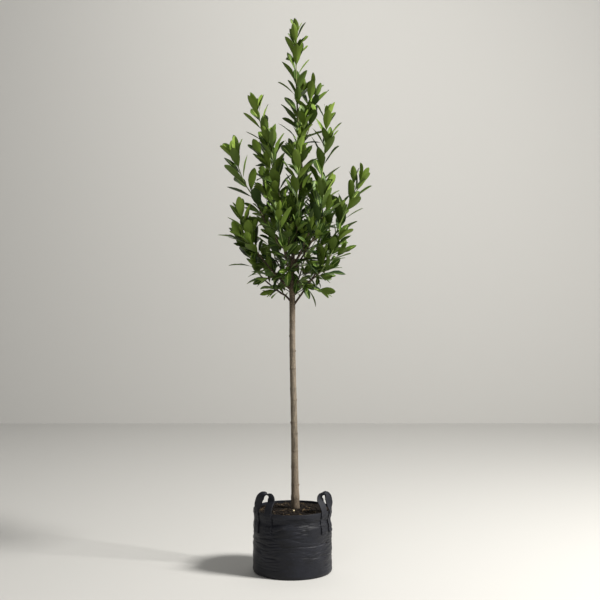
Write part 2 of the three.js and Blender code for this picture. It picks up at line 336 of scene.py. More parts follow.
def add_leaf(kind, point, way, face, length, arch):
    face = face - way * (face @ way)
    leaves.setdefault(kind, []).append((point, way, unit(face), length, arch, rng.random()))


def leaf_kind(age, tone):
    """Which of the head's greens a leaf has, by how near it is to its shoot's tip. Low hanging shoots come
    in older and so darker: partly real age, partly painted shade under the head.
    """
    if age > 1:
        return "tip"
    if age > 0.86:
        return "young"
    if age > 0.5:
        return "mid_" + "ab"[tone]
    return "old_" + "abc"[tone + rng.randrange(2)]


def dress(line, start, bright, droop, size, twigs, wood):
    """Sets leaves, and side twigs on a share of the joints, along a shoot from its start to its tip."""
    along, side, ahead = directions_along(line)
    run = run_along(line)
    total = run[-1]
    tone = rng.randrange(2)
    bearing = rng.uniform(0, 2 * math.pi)
    at = start * total
    while at < total:
        share = (at - start * total) / max(total * (1 - start), 1e-6)
        place = point_at(line, run, at)
        i = min(int(np.searchsorted(run, at)), len(line) - 1)
        out = turned(side[i], ahead[i], bearing)
        lean = LEAN["foot"] - LEAN["less"] * share**1.1 + rng.uniform(-LEAN["vary"], LEAN["vary"])
        lean = math.radians(lean)
        way = along[i] * math.cos(lean) + out * math.sin(lean)
        way[2] -= droop * (1 - share) * rng.uniform(0.5, 1.2)
        way = unit(way)
        radius = wood[0] + (wood[1] - wood[0]) * at / total
        length = LEAF["length"] * size * (0.8 + 0.32 * math.sin(math.pi * (0.15 + 0.8 * share)))
        length *= (1 - (0.4 if droop > 0.2 else 0.1) * (1 - share) ** 2) * rng.uniform(0.88, 1.1)
        age = 0.8 * share + 0.7 * max(0, share - 1 + 2 * bright) + rng.uniform(-0.12, 0.12)
        # Low hanging shoots get older, darker leaves: partly the real age of low leaves, partly painted
        # shade under the head.
        age = 1.2 if share > 1 - bright else age - 0.3 * (droop > 0.05)
        arch = math.radians(rng.uniform(2, 20) * (1.1 - 0.6 * share) + 30 * droop * (1 - share))
        face = along[i] + np.array((0, 0, 0.55)) + rng.uniform(-0.3, 0.3) * np.cross(way, along[i])
        add_leaf(leaf_kind(age, tone), place + out * radius * 0.8, way, face, length, arch)
        if rng.random() < twigs * (1 - share) ** 0.7:
            grow_twig(place, along[i], out, share, bright, droop, size)
        bearing += TURN + rng.uniform(-0.3, 0.3)
        at += (SPACING["low"] + (SPACING["high"] - SPACING["low"]) * share) * rng.uniform(0.8, 1.2)
    # The bud's own leaves stand close round the tip.
    for k in range(BUD_LEAVES):
        out = turned(side[-1], ahead[-1], bearing + 1.7 * k)
        way = unit(along[-1] + out * rng.uniform(0.12, 0.5))
        kind = leaf_kind(1.2 if bright > 0.15 else 0.8 + bright, tone)
        length = LEAF["length"] * size * (0.84 - 0.08 * k) * rng.uniform(0.93, 1.03)
        add_leaf(kind, line[-1], way, along[-1], length, math.radians(8))


def grow_twig(place, axis, out, share, bright, droop, size):
    """A side twig: it leaves at about half a right angle and turns up."""
    length = rng.uniform(0.05, 0.12) * (1.1 - 0.6 * share)
    first = unit(axis + out * 0.85)
    last = unit(first + axis * 0.5 + np.array((0, 0, 0.5 - droop)))
    line = smooth_line([place, place + first * length * 0.5, place + (first + last) * length * 0.5], 9)
    woody.append((line, *TWIG))
    dress(line, 0.3, bright * 0.5, droop, size * 0.94, 0, TWIG)


def middle_of(points):
    return (points.min(axis=0) + points.max(axis=0)) / 2


def shoot_line(name):
    """The line of a bough and of the shoot that it becomes, from the stem to the tip, and the share of it
    that is bare. They come from the two solids."""
    bough, mass = cad_points("bough_" + name), cad_points("leaves_" + name)
    foot = bough[np.argmin(bough[:, 2])]
    root = stem_at(foot[2] - 0.014)
    apex = mass[np.argmax(np.linalg.norm(mass - root, axis=1))]
    chord = unit(apex - root)
    reach = (apex - root) @ chord
    bough_at, mass_at = (bough - root) @ chord, (mass - root) @ chord
    knots = [root]
    inner, outer = bough_at.min(), bough_at.max()
    for points, at, low, high, near, shares in (
        (bough, bough_at, inner, outer, max(0.02, 0.12 * (outer - inner)), (0.45, 0.97)),
        (mass, mass_at, outer, reach, 0.035, (0.3, 0.55, 0.78)),
    ):
        knots += [middle_of(points[np.abs(at - low - (high - low) * share) < near]) for share in shares]
    end = apex - unit(apex - knots[-1]) * TIP_REACH
    return smooth_line([*knots, end], 48), outer / reach


names = sorted(name[len("leaves_"):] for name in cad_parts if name.startswith("leaves_"))
side_shoots = [name for name in names if "bough_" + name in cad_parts]
for name in side_shoots:
    line, bare = shoot_line(name)
    wood = THIN_BOUGH if name == "leader_side" else BOUGH
    split = int(len(line) * min(0.85, bare + 0.4 * (1 - bare)))  # where brown wood ends and green begins
    radii = np.interp(np.arange(len(line)), (0, len(line) - 1), wood)
    woody.append((line[: split + 1], radii[0], radii[split]))
    green.append((line[split:], radii[split] * 0.97, radii[-1]))
    dress(line, bare * 0.85, BRIGHT.get(name, 0.05), DROOP.get(name, 0), 1.0, 0.42, wood)

# The leader carries its own leaves above the fork, with short twigs low down.
leader_low = cad_points("leaves_heart")[:, 2].min()
leader_high = stem_top - 0.02
leader = smooth_line([stem_at(z) for z in np.linspace(leader_low, leader_high, 14)], 90)
leader_middle = cad_points("leaves_leader_middle")[:, 2].min()
share = (leader_middle - leader_low) / (leader_high - leader_low)
cut = int(len(leader) * share)
dress(leader[: cut + 1], 0.02, 0, 0.12, 1.08, 0.7, LEADER_LOW)
dress(leader[cut:], 0.02, 0, 0, 0.96, 0.5, LEADER_HIGH)

# Thin old twigs round the fork hang a little, and carry small dark leaves: old ones, darkened further as
# painted shade inside the head.
FORK_TWIGS = {"count": 12, "low": 1.315, "step": 0.015, "turn": 0.35}
for k in range(FORK_TWIGS["count"]):
    root = stem_at(FORK_TWIGS["low"] + FORK_TWIGS["step"] * k)
    out = np.array(polar(1, TURN * k + FORK_TWIGS["turn"], 0))
    reach = rng.uniform(0.09, 0.15)
    middle = root + out * reach * 0.5 + (0, 0, reach * 0.3)
    twig = smooth_line([root, middle, root + out * reach + (0, 0, reach * 0.2)], 12)
    woody.append((twig, *FORK_TWIG))
    dress(twig, 0.2, 0, 0.62, 0.78, 0, FORK_TWIG)

# ---- Boughs and twigs ----
# Brown wood of the last years, and this year's shoots, which are still green and smooth. The boughs taper
# from the stem into their shoots, and the twigs leave them at the joints of the leaves.
bough_bark = bark_material(
    "laurel twig bark, brown",
    [(1.2, "#453526"), (1.6, "#453624"), (2.0, "#55552f"), (2.4, "#6d7a3b")], 0.9,
)
shoot_skin, skin_tree, skin = new_material("this year's laurel shoot, green and smooth", Roughness=0.5)
skin_place = put(skin_tree, "TexCoord").outputs["Object"]
skin_patches = put(skin_tree, "TexNoise", {"Vector": skin_place, "Scale": 40.0, "Detail": 3})
put(skin_tree, "ValToRGB", {"Fac": skin_patches}, skin.inputs["Base Color"],
    [(0.35, "#5d7033"), (0.65, "#7e9149")])


def add_tubes(name, tubes, sides, material):
    """Tapered tubes joined into one piece. Each has a ring for every third point of its line."""
    points, faces, count = [], [], 0
    for line, first, last in tubes:
        steps = max(4, len(line) // 3)
        even = smooth_line(line[:: max(1, len(line) // 12)], steps + 1)
        shape = tube_shape(sides, steps)
        bent = bent_tube(shape, even, np.linspace(first, last, steps + 1))
        wobble = np.array([noise.noise(Vector(p * 160)) for p in bent])
        core = even[np.rint(shape[0][:, 2] * steps).astype(int)]
        bent += unit(bent - core) * (wobble * 0.0005)[:, None]
        points.append(bent)
        faces += [[count + k for k in face] for face in shape[1]]
        count += len(bent)
    return add_piece(name, np.vstack(points), faces, [material])


boughs = add_tubes("boughs_and_twigs", woody, 10, bough_bark)
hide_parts(*["bough_" + name for name in side_shoots])
shoots = add_tubes("green_shoots", green, 8, shoot_skin)

# ---- Leaves ----
# Thick evergreen leaves on short stalks, widest past the middle, folded a little along a pale rib and bent
# back towards the tip. They are waxy and dark above, matt and paler below, and brighter while young.
LEAF_ACROSS = (-1, -0.52, -0.075, 0.075, 0.52, 1)  # shares of the half width
LEAF_ALONG = (0, 0.07, 0.17, 0.33, 0.52, 0.72, 0.88, 0.965, 1)  # shares of the length
LEAF_WIDTH = (0.06, 0.075, 0.34, 0.72, 0.98, 0.93, 0.62, 0.3, 0.04)  # shares of the widest, at those places
UPPER, RIB, UNDER = 0, 1, 2


def leaf_shape():
    """A flat leaf with faces on both sides, welded along its edge: points, faces and what each shows."""
    bm = bmesh.new()
    columns, rows = len(LEAF_ACROSS) - 1, len(LEAF_ALONG) - 1
    bmesh.ops.create_grid(bm, x_segments=columns, y_segments=rows, size=1)
    for v in bm.verts:
        across = LEAF_ACROSS[round((v.co.x + 1) / 2 * columns)]
        v.co = (across, LEAF_ALONG[round((v.co.y + 1) / 2 * rows)], 0)
    for face in bm.faces:
        face.material_index = RIB if abs(face.calc_center_median().x) < 0.1 else UPPER
    below = bmesh.ops.duplicate(bm, geom=bm.faces[:])["geom"]
    under_faces = [g for g in below if isinstance(g, bmesh.types.BMFace)]
    bmesh.ops.reverse_faces(bm, faces=under_faces)
    for face in under_faces:
        face.material_index = UNDER
    for v in {v for face in under_faces for v in face.verts}:
        if abs(v.co.x) < 0.99 and 0.01 < v.co.y < 0.99:
            v.co.z = -1
    bmesh.ops.remove_doubles(bm, verts=bm.verts, dist=1e-4)
    kinds = [face.material_index for face in bm.faces]
    return *taken_from(bm), kinds


leaf_points, leaf_faces, leaf_sides = leaf_shape()


def grown_leaves(rows):
    """The points of many leaves at once, each folded, arched and waved by its own amounts."""
    base, way, face, length, arch, own = (np.array([row[k] for row in rows]) for k in range(6))
    across, along, depth = (leaf_points[:, k][None, :] for k in range(3))
    length, arch, own = length[:, None], arch[:, None], own[:, None]
    half = np.interp(leaf_points[:, 1], LEAF_ALONG, LEAF_WIDTH)[None, :]
    half = half * length * LEAF["shape"] / 2 * (0.86 + 0.28 * own)
    stalk = np.clip((along - 0.09) / 0.3, 0, 1)
    fold = np.radians(6 + 14 * ((own * 7.3) % 1)) * stalk
    bend = arch * along**1.4
    forward = length * along * (1 - bend**2 / 6)
    drop = length * along * bend / 2
    ripple = np.sin(along * 8.5 + own * 6.3 + across) * ((own * 3.7) % 1)
    wave = 0.03 * length * np.abs(across) * stalk * ripple
    rise = np.abs(across) * half * np.tan(fold) - drop + wave + depth * LEAF["thick"]
    roll = (own - 0.5) * 0.7 * along
    side = across * half * np.cos(fold) + rise * 0
    side, rise = side * np.cos(roll) - rise * np.sin(roll) * 0.5, rise + side * np.sin(roll)
    right = np.cross(way, face)
    return (base[:, None] + right[:, None] * side[..., None] + way[:, None] * forward[..., None]
            + face[:, None] * rise[..., None])


def leaf_material(name, code, rough, coat=0.0):
    """A leaf's skin. A plain colour, since each leaf has one, under a wax that shines above and not below.
    Fine unevenness 6 mm across breaks up the shine."""
    material, tree, shader = new_material(name, Base_Color=linear(code), Roughness=rough, Coat_Weight=coat,
                                          Coat_Roughness=0.4, Specular_IOR_Level=0.28)
    place = put(tree, "TexCoord").outputs["Object"]
    veins = put(tree, "TexNoise", {"Vector": place, "Scale": 160.0, "Detail": 2})
    put(tree, "Bump", {"Height": veins, "Strength": 0.35, "Distance": 0.0012}, shader.inputs["Normal"])
    return material


LEAF_GREENS = {  # above, rib and below
    "old_a": ("#2b410f", "#8c9e55", "#43571a"),
    "old_b": ("#374e14", "#94a658", "#51661e"),
    "old_c": ("#203614", "#7c914e", "#374c1d"),
    "mid_a": ("#475f17", "#a6b664", "#607626"),
    "mid_b": ("#3f581b", "#9eae62", "#586e29"),
    "young": ("#516d1b", "#aebe68", "#68802c"),
    "tip": ("#59731e", "#b2c26e", "#718732"),
}
for kind, (above, rib, below) in LEAF_GREENS.items():
    rows = leaves[kind]
    points = grown_leaves(rows).reshape(-1, 3)
    faces = repeated(leaf_faces, len(leaf_points), len(rows))
    skins = [
        leaf_material(f"laurel leaf, {kind}, waxy upper side", above, 0.5, 0.05),
        leaf_material(f"laurel leaf, {kind}, rib", rib, 0.5),
        leaf_material(f"laurel leaf, {kind}, matt underside", below, 0.62),
    ]
    piece = add_piece("leaves_" + kind + "_skin", points, faces, skins, leaf_sides * len(rows))
    piece.data.set_sharp_from_angle(angle=math.radians(70))
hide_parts(*["leaves_" + name for name in names])

# ---- Grow bag ----
# The wall is one length of thick black felt, needle-punched from polyester and sewn into a tube, with a
# lapped seam at the back and a hem at the rim. It sags under the rim and is creased from being folded flat.
BAG_REACH = 0.19  # the wall's plain radius, to turn lengths round it into angles
WALL_THICK = 0.003
WALL_EDGE = 0.0012  # how far down the rim's rounding goes
WALL_STEPS, WALL_RINGS, LINING_RINGS = 240, 130, 56
HEM = {"height": 0.022, "swell": 0.0012, "groove": 0.0009}
SAG = {"height": 0.258, "reach": 0.017, "depth": 0.0085, "bearing": math.radians(-100),
       "span": math.radians(34)}
# Height, reach and depth of each.
CREASES = ((0.154, 0.0036, 0.0026), (0.131, 0.0036, 0.0020), (0.098, 0.0034, 0.0018))
SEAM = {"bearing": math.radians(108), "width": 0.014, "swell": 0.0016}

wall_points = cad_points("bag_side")
wall_radii = np.hypot(wall_points[:, 0], wall_points[:, 1])
wall_heights = np.unique(wall_points[:, 2].round(4))
outer_radii = [wall_radii[np.abs(wall_points[:, 2] - z) < 1e-3].max() for z in wall_heights]
rim = wall_heights[-1]


def eased(value, low, high):
    share = min(1.0, max(0.0, (value - low) / (high - low)))
    return share * share * (3 - 2 * share)


def apart(bearing, other):
    """The angle between two bearings, whichever way round is shorter."""
    return abs((bearing - other + math.pi) % (2 * math.pi) - math.pi)


def bag_radius(height):
    """The wall's outer radius, with a round corner at the foot."""
    return float(np.interp(height, wall_heights, outer_radii))


def wall_relief(height, bearing):
    """How far the felt stands off the bag's plain shape, outwards."""
    ring = BAG_REACH * Vector(polar(1, bearing, 0))

    def soft(across, up, seed):
        return noise.noise(Vector((ring.x * across + seed, ring.y * across, height * up)))

    free = eased(height, 0.006, 0.06) * (1 - 0.8 * eased(height, rim - 0.03, rim - 0.008))
    lift = 0.0034 * soft(8, 10, 3) + 0.0016 * soft(19, 34, 7)
    for across, up, depth, seed in ((8, 38, 0.0026, 13), (12, 72, 0.0022, 19), (20, 115, 0.0012, 23)):
        share = max(0, 0.55 + 1.6 * soft(9, 9, seed + 2))
        lift -= depth * share * math.exp(-((soft(across, up, seed) / 0.17) ** 2))
    low = height - SAG["height"] - 0.011 * soft(7, 0, 29)
    aside = apart(bearing, SAG["bearing"])
    deep = 0.4 + 0.6 * soft(6, 0, 31) + 0.9 * math.exp(-((aside / SAG["span"]) ** 2))
    lift -= SAG["depth"] * math.exp(-((low / SAG["reach"]) ** 2)) * max(0, deep)
    for k, (crease, reach, depth) in enumerate(CREASES):
        low = height - crease - 0.010 * soft(8, 0, 37 + k)
        lift -= depth * math.exp(-((low / reach) ** 2)) * max(0, 0.75 + 1.3 * soft(10, 0, 41 + k))
    lift *= free
    hem_low = rim - HEM["height"]
    lift += HEM["swell"] * eased(height, hem_low, hem_low + 0.002)
    lift -= HEM["groove"] * math.exp(-(((height - hem_low - 0.0012) / 0.0016) ** 2))
    lift += 0.0008 * soft(120, 14, 53) * eased(height, hem_low - 0.02, rim)
    off = apart(bearing, SEAM["bearing"]) * BAG_REACH
    return lift + SEAM["swell"] * (1 - eased(off, SEAM["width"] / 2, SEAM["width"] / 2 + 0.002))


def rim_drop(height, bearing):
    """The felt's rim isn't quite level."""
    wave = noise.noise(Vector(polar(1.6, bearing, 61)))
    return (0.0016 + 0.004 * abs(wave)) * eased(height, rim - 0.11, rim)


def spun(profile, steps, closed):
    """A bmesh turned about the upright axis from (radius, height) points."""
    bm = bmesh.new()
    verts = [bm.verts.new((radius, 0, height)) for radius, height in profile]
    pairs = list(zip(verts, verts[1:])) + ([(verts[-1], verts[0])] if closed else [])
    edges = [bm.edges.new(pair) for pair in pairs]
    bmesh.ops.spin(bm, geom=verts + edges, cent=(0, 0, 0), axis=(0, 0, 1), angle=2 * math.pi, steps=steps,
                   use_merge=True)
    bmesh.ops.remove_doubles(bm, verts=bm.verts, dist=1e-6)
    bmesh.ops.recalc_face_normals(bm, faces=bm.faces)
    return bm


def piece_from(bm, name, *materials):
    """Turns a finished bmesh into a smooth piece of the object."""
    mesh = bpy.data.meshes.new(name)
    bm.to_mesh(mesh)
    bm.free()
    return piece_of(mesh, materials)


def cloth_on(x, y, z):
    """Moves a point of the bag's plain shape onto the felt's relief."""
    bearing = math.atan2(y, x)
    return polar(math.hypot(x, y) + wall_relief(z, bearing), bearing, z - rim_drop(z, bearing))


def felt_material(name, dark, light):
    """Needle-punched polyester felt: short matted fibres, quite matt, with a faint bloom at a low angle.
    Fibres are about 1 mm apart, and clumps and dust of 5 to 30 mm make it cloudy."""
    material, tree, shader = new_material(name, Roughness=0.52, Sheen_Weight=0.04, Sheen_Roughness=0.5,
                                          Specular_IOR_Level=0.3)
    place = put(tree, "TexCoord").outputs["Object"]
    fibres = put(tree, "TexNoise", {"Vector": place, "Scale": 900.0, "Detail": 3, "Roughness": 0.7})
    clumps = put(tree, "TexNoise", {"Vector": place, "Scale": 120.0, "Detail": 4})
    clouds = put(tree, "TexNoise", {"Vector": place, "Scale": 14.0, "Detail": 3})
    mixed = put(tree, "Math", {0: fibres, 1: clumps}, operation="MULTIPLY")
    both = put(tree, "Math", {0: mixed, 1: clouds}, operation="ADD")
    put(tree, "ValToRGB", {"Fac": both}, shader.inputs["Base Color"], [(0.52, dark), (0.98, light)])
    height = put(tree, "Math", {0: fibres, 1: clumps}, operation="ADD")
    put(tree, "Bump", {"Height": height, "Strength": 0.55, "Distance": 0.0008}, shader.inputs["Normal"])
    return material


felt = felt_material("black polyester felt, needle-punched", "#0b0c12", "#191b24")
outer = [(bag_radius(z), z) for z in np.linspace(0, rim - WALL_EDGE, WALL_RINGS)]
lip = [(bag_radius(rim) - WALL_THICK / 2 * (1 - math.cos(a)), rim - WALL_EDGE * (1 - math.sin(a)))
       for a in np.radians((30, 60, 90, 120, 150))]
inner = [(bag_radius(z) - WALL_THICK, z) for z in np.linspace(rim - WALL_EDGE, 0, LINING_RINGS)]
wall = spun([*outer, *lip, *inner], WALL_STEPS, True)
for v in wall.verts:
    v.co = cloth_on(*v.co)
bag = piece_from(wall, "bag_wall_felt", felt)
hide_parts("bag_side")

# ---- Bag base ----
# A disc of the same felt, cut out and sewn into the foot of the wall. It lies flat under the weight of the
# compost, and the object stands on it.
BASE_RINGS, BASE_STEPS = 40, 120
base_low, base_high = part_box("bag_base")
base_round = 0.0012
base_profile = [(0, base_low.z)]
base_profile += [(r, base_low.z) for r in np.linspace(0, base_high.x - base_round, BASE_RINGS)[1:]]
base_profile += [(base_high.x, base_low.z + base_round), (base_high.x, base_high.z)]
base_profile += [(r, base_high.z) for r in np.linspace(0, base_high.x - base_round, BASE_RINGS)[:0:-1]]
base_profile += [(0, base_high.z)]
base_felt = spun(base_profile, BASE_STEPS, False)
for v in base_felt.verts:
    ripple = 0.0005 * noise.noise(v.co * 40) + 0.0004 * noise.noise(v.co * 110)
    v.co.z = max(v.co.z, base_low.z) + (abs(ripple) if v.co.z < base_low.z + base_round else ripple)
base_piece = piece_from(base_felt, "bag_base_felt", felt)
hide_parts("bag_base")

# ---- Handles ----
# Each is one length of black polypropylene webbing, its ends sewn flat to the wall under the hem. Between
# them it stands up in a loop that curls over outwards.
STRAP = {"width": 0.040, "thick": 0.0032, "sewn": 0.104, "round": 0.0011}
# Bearings of the feet and of the loop's face, in degrees, then its rise and its lean.
STRAP_LINE = (("left", (-127, -153), -129, 0.080, 0.030),
              ("right", (-38, -18), -46, 0.075, 0.024))
# Shares of the way round, of the lean and of the rise.
LOOP = ((0.01, 0.3, 0.34), (0.05, 0.95, 0.68), (0.18, 1, 0.93), (0.42, 0.62, 1), (0.7, 0.25, 0.83),
        (0.9, 0.12, 0.45))
STRAP_STEPS = 132
SEWN_BOX = {"inset": 0.004, "long": 0.05, "from_end": 0.006}
STITCH = {"pitch": 0.0048, "length": 0.0036, "radius": 0.00042}
STRAP_CLEAR = 0.0003  # between the strap and the wall
strap_offset = STRAP_CLEAR + STRAP["thick"] / 2


def strap_route(feet, rise, lean):
    """Points at even distances along the middle of a strap, from one sewn end to the other."""
    near, far = (math.radians(foot) for foot in feet)

    def at(share, inward, above):
        radius = bag_radius(min(rim + above, rim)) + strap_offset - lean * inward
        return polar(radius, near + (far - near) * share, rim + above)

    sewn = (-STRAP["sewn"], -STRAP["sewn"] / 2, 0)
    loop = [at(share, inward, above * rise) for share, inward, above in LOOP]
    knots = [*[at(0, 0, z) for z in sewn], *loop, *[at(1, 0, z) for z in sewn[::-1]]]
    return smooth_line(knots, STRAP_STEPS + 1)


def strap_frames(route, facing):
    """The strap's way across and where its outer face looks, at each point of its route."""
    along = unit(np.gradient(route, axis=0))
    above = np.array([eased(z, rim, rim + 0.03) for z in route[:, 2]])
    bearing = np.arctan2(route[:, 1], route[:, 0]) * (1 - above) + math.radians(facing) * above
    across = np.stack([-np.sin(bearing), np.cos(bearing), np.zeros(len(route))], axis=1)
    across = unit(across - along * (across * along).sum(axis=1, keepdims=True))
    return across, np.cross(across, along)


def webbing_material(name, dark, light):
    """Polypropylene webbing: flat ribs of thread 2 mm apart along it, crossed every 2.4 mm. The paler
    colour on each rib is a painted low shine, and the darker colour in between is painted shade."""
    material, tree, shader = new_material(name, Roughness=0.6, Specular_IOR_Level=0.32)
    place = put(tree, "TexCoord").outputs["UV"]
    ribs = put(tree, "TexWave", {"Vector": place, "Scale": 157.0}, bands_direction="X")
    picks = put(tree, "TexWave", {"Vector": place, "Scale": 131.0}, bands_direction="Y")
    weave_and_painted_shine = put(tree, "Math", {0: ribs.outputs["Fac"], 1: picks.outputs["Fac"]}, operation="MULTIPLY")
    worn = put(tree, "TexNoise", {"Vector": place, "Scale": 90.0, "Detail": 3})
    both = put(tree, "Math", {0: weave_and_painted_shine, 1: worn}, operation="ADD")
    # Paler on the ribs as a painted highlight, darker between them as painted shade. The worn patches are
    # real.
    put(tree, "ValToRGB", {"Fac": both}, shader.inputs["Base Color"], [(0.35, dark), (1.0, light)])
    put(tree, "Bump", {"Height": weave_and_painted_shine, "Strength": 0.7, "Distance": 0.0006}, shader.inputs["Normal"])
    return material


def strap_piece(name, route, across, face):
    """A flat block of webbing bent along its route, its long edges rounded."""
    bm = bmesh.new()
    bmesh.ops.create_grid(bm, x_segments=6, y_segments=STRAP_STEPS, size=1, calc_uvs=True)
    uv = bm.loops.layers.uv.verify()
    length = STRAP_STEPS * np.linalg.norm(route[1] - route[0])
    for loop in (loop for grid_face in bm.faces for loop in grid_face.loops):
        loop[uv].uv = ((loop.vert.co.x + 1) / 2 * STRAP["width"], (loop.vert.co.y + 1) / 2 * length)
    above = bmesh.ops.extrude_face_region(bm, geom=bm.faces[:])["geom"]
    bmesh.ops.translate(bm, verts=[g for g in above if isinstance(g, bmesh.types.BMVert)], vec=(0, 0, 1))
    long_edges = [e for e in bm.edges if all(abs(abs(v.co.x) - 1) < 1e-4 for v in e.verts)
                  and abs(e.verts[0].co.z - e.verts[1].co.z) < 0.5]
    for v in bm.verts:
        i = round((v.co.y + 1) / 2 * STRAP_STEPS)
        side, out = v.co.x * STRAP["width"] / 2, (v.co.z - 0.5) * STRAP["thick"]
        cup = 0.0012 * (v.co.x**2 - 0.4) * eased(route[i][2], rim + 0.01, rim + 0.05)
        point = Vector((route[i] + across[i] * side + face[i] * (out - cup)).tolist())
        bearing = math.atan2(point.y, point.x)
        hug = wall_relief(min(point.z, rim), bearing) * (1 - eased(point.z, rim - 0.004, rim + 0.03))
        v.co = point + Vector(polar(1, bearing, 0)) * hug
    bmesh.ops.bevel(bm, geom=long_edges, offset=STRAP["round"], segments=2, profile=0.5, affect="EDGES",
                    material=-1)
    bmesh.ops.recalc_face_normals(bm, faces=bm.faces)
    return piece_from(bm, name, webbing)


def stitch_row(points, outs, rows):
    """Adds the stitches that lie end to end along a line: where each is, which way it runs, what is out."""
    run = run_along(points)
    for at in np.arange(STITCH["pitch"] / 2, run[-1], STITCH["pitch"]):
        way = point_at(points, run, min(at + 1e-3, run[-1])) - point_at(points, run, max(at - 1e-3, 0))
        out = outs[min(int(np.searchsorted(run, at)), len(outs) - 1)]
        rows.append((point_at(points, run, at), unit(way), out))


def add_stitches(name, rows, material):
    """Short lengths of thread, each bowed so that its ends go down into the cloth."""
    points, faces = tube_shape(6, 4)
    bow = STITCH["radius"] * (1 - 3.2 * (points[:, 2] - 0.5) ** 2)
    thin = 1 - 0.6 * (2 * points[:, 2] - 1) ** 4
    placed = []
    for near, way, out in rows:
        across = unit(np.cross(way, out))
        rise = np.cross(across, way)
        placed.append(near + way * ((points[:, 2:] - 0.5) * STITCH["length"])
                      + across * (points[:, :1] * STITCH["radius"] * thin[:, None])
                      + rise * ((points[:, 1:2] * STITCH["radius"]) * thin[:, None] + bow[:, None]))
    return add_piece(name, np.vstack(placed), repeated(faces, len(points), len(rows)), [material])


webbing = webbing_material("black polypropylene webbing, woven", "#0c0d12", "#20222b")
handle_stitches = []
for side_name, feet, facing, rise, lean in STRAP_LINE:
    route = strap_route(feet, rise, lean)
    across, face = strap_frames(route, facing)
    handle = strap_piece("handle_" + side_name + "_webbing", route, across, face)
    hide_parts("handle_" + side_name)
    face *= 1 if (face[0] * route[0] * (1, 1, 0)).sum() > 0 else -1
    surface = route + face * STRAP["thick"] / 2
    # Each end is sewn down in a box with a cross in it.
    inset, box, from_end = STRAP["width"] / 2 - SEWN_BOX["inset"], SEWN_BOX["long"], SEWN_BOX["from_end"]
    step = np.linalg.norm(route[1] - route[0])
    for first in (round(from_end / step), len(route) - 1 - round((from_end + box) / step)):
        last = first + round(box / step)
        span = np.arange(first, last + 1)
        share = np.linspace(-1, 1, len(span))[:, None]
        for offset in (-inset, inset, -inset * share, inset * share):
            line = surface[span] + across[span] * offset
            line = np.array([cloth_on(*p) if p[2] < rim else p for p in line])
            stitch_row(line, face[span], handle_stitches)
        for end in (first, last):
            ends = surface[end] + across[end] * np.linspace(-inset, inset, 8)[:, None]
            stitch_row(np.array([cloth_on(*p) for p in ends]), [face[end]], handle_stitches)

# ---- Hem, seam and their stitches ----
# The hem and the back seam are machine sewn in lockstitch, with the same bonded black polyester thread as
# the ends of the handles: one row round the hem and two up the seam.
HEM_ROW = 0.0035  # how far the row is above the hem's lower edge
SEAM_ROWS = (-0.004, 0.004)  # beside the seam's middle
hem_bearings = np.linspace(0, 2 * math.pi, 361)
hem_stitches = []


def on_wall(bearing, height):
    return cloth_on(*polar(bag_radius(height), bearing, height))


hem_line = np.array([on_wall(b, rim - HEM["height"] + HEM_ROW) for b in hem_bearings])
stitch_row(hem_line, unit(hem_line * (1, 1, 0)), hem_stitches)
for aside in SEAM_ROWS:
    up = np.linspace(0.02, rim - HEM["height"], 80)
    seam_line = np.array([on_wall(SEAM["bearing"] + aside / BAG_REACH, z) for z in up])
    stitch_row(seam_line, unit(seam_line * (1, 1, 0)), hem_stitches)
thread, thread_tree, thread_shader = new_material("bonded polyester thread, black", Roughness=0.5)
thread_place = put(thread_tree, "TexCoord").outputs["Object"]
plies = put(thread_tree, "TexNoise", {"Vector": thread_place, "Scale": 1200.0})
put(thread_tree, "ValToRGB", {"Fac": plies}, thread_shader.inputs["Base Color"],
    [(0.4, "#121316"), (0.6, "#25272c")])
add_stitches("handle_stitching", handle_stitches, thread)
add_stitches("hem_and_seam_stitching", hem_stitches, thread)

# ---- Compost ----
# A peat and bark mix that fills the bag to just under its rim. It is a dark crumbly body with bark chips, a
# few pale bits of wood and fine fibres lying on it, and it is heaped a little against the stem.
COMPOST_STEPS, COMPOST_RINGS = 200, 70
HEAP = {"height": 0.0035, "reach": 0.04}
COMPOST_CLEAR = 0.0004  # between the compost and the felt
soil_points = cad_points("compost")
soil_low, soil_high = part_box("compost")
soil_top = soil_points[soil_points[:, 2] > soil_high.z - 0.008]
soil_reach = np.hypot(soil_top[:, 0], soil_top[:, 1])
order = np.argsort(soil_reach)


def from_stem(x, y):
    return math.hypot(x - stem_knots[0][0], y - stem_knots[0][1])


def soil_height(x, y):
    """The compost's surface: a low dome with crumbs of 4 to 30 mm, heaped against the stem."""
    plain = float(np.interp(math.hypot(x, y), soil_reach[order], soil_top[order][:, 2]))
    lumps = 0.0042 * noise.noise(Vector((x * 26, y * 26, 2)))
    lumps += 0.0022 * noise.noise(Vector((x * 85, y * 85, 5)))
    crumbs = 0.0016 * abs(noise.noise(Vector((x * 240, y * 240, 9))))
    heap = HEAP["height"] * math.exp(-(from_stem(x, y) / HEAP["reach"]) ** 2)
    return plain + lumps + crumbs + heap


def soil_edge(height, bearing):
    """How far out the compost reaches at a height: as far as the felt lets it."""
    return bag_radius(height) + wall_relief(height, bearing) - WALL_THICK - COMPOST_CLEAR


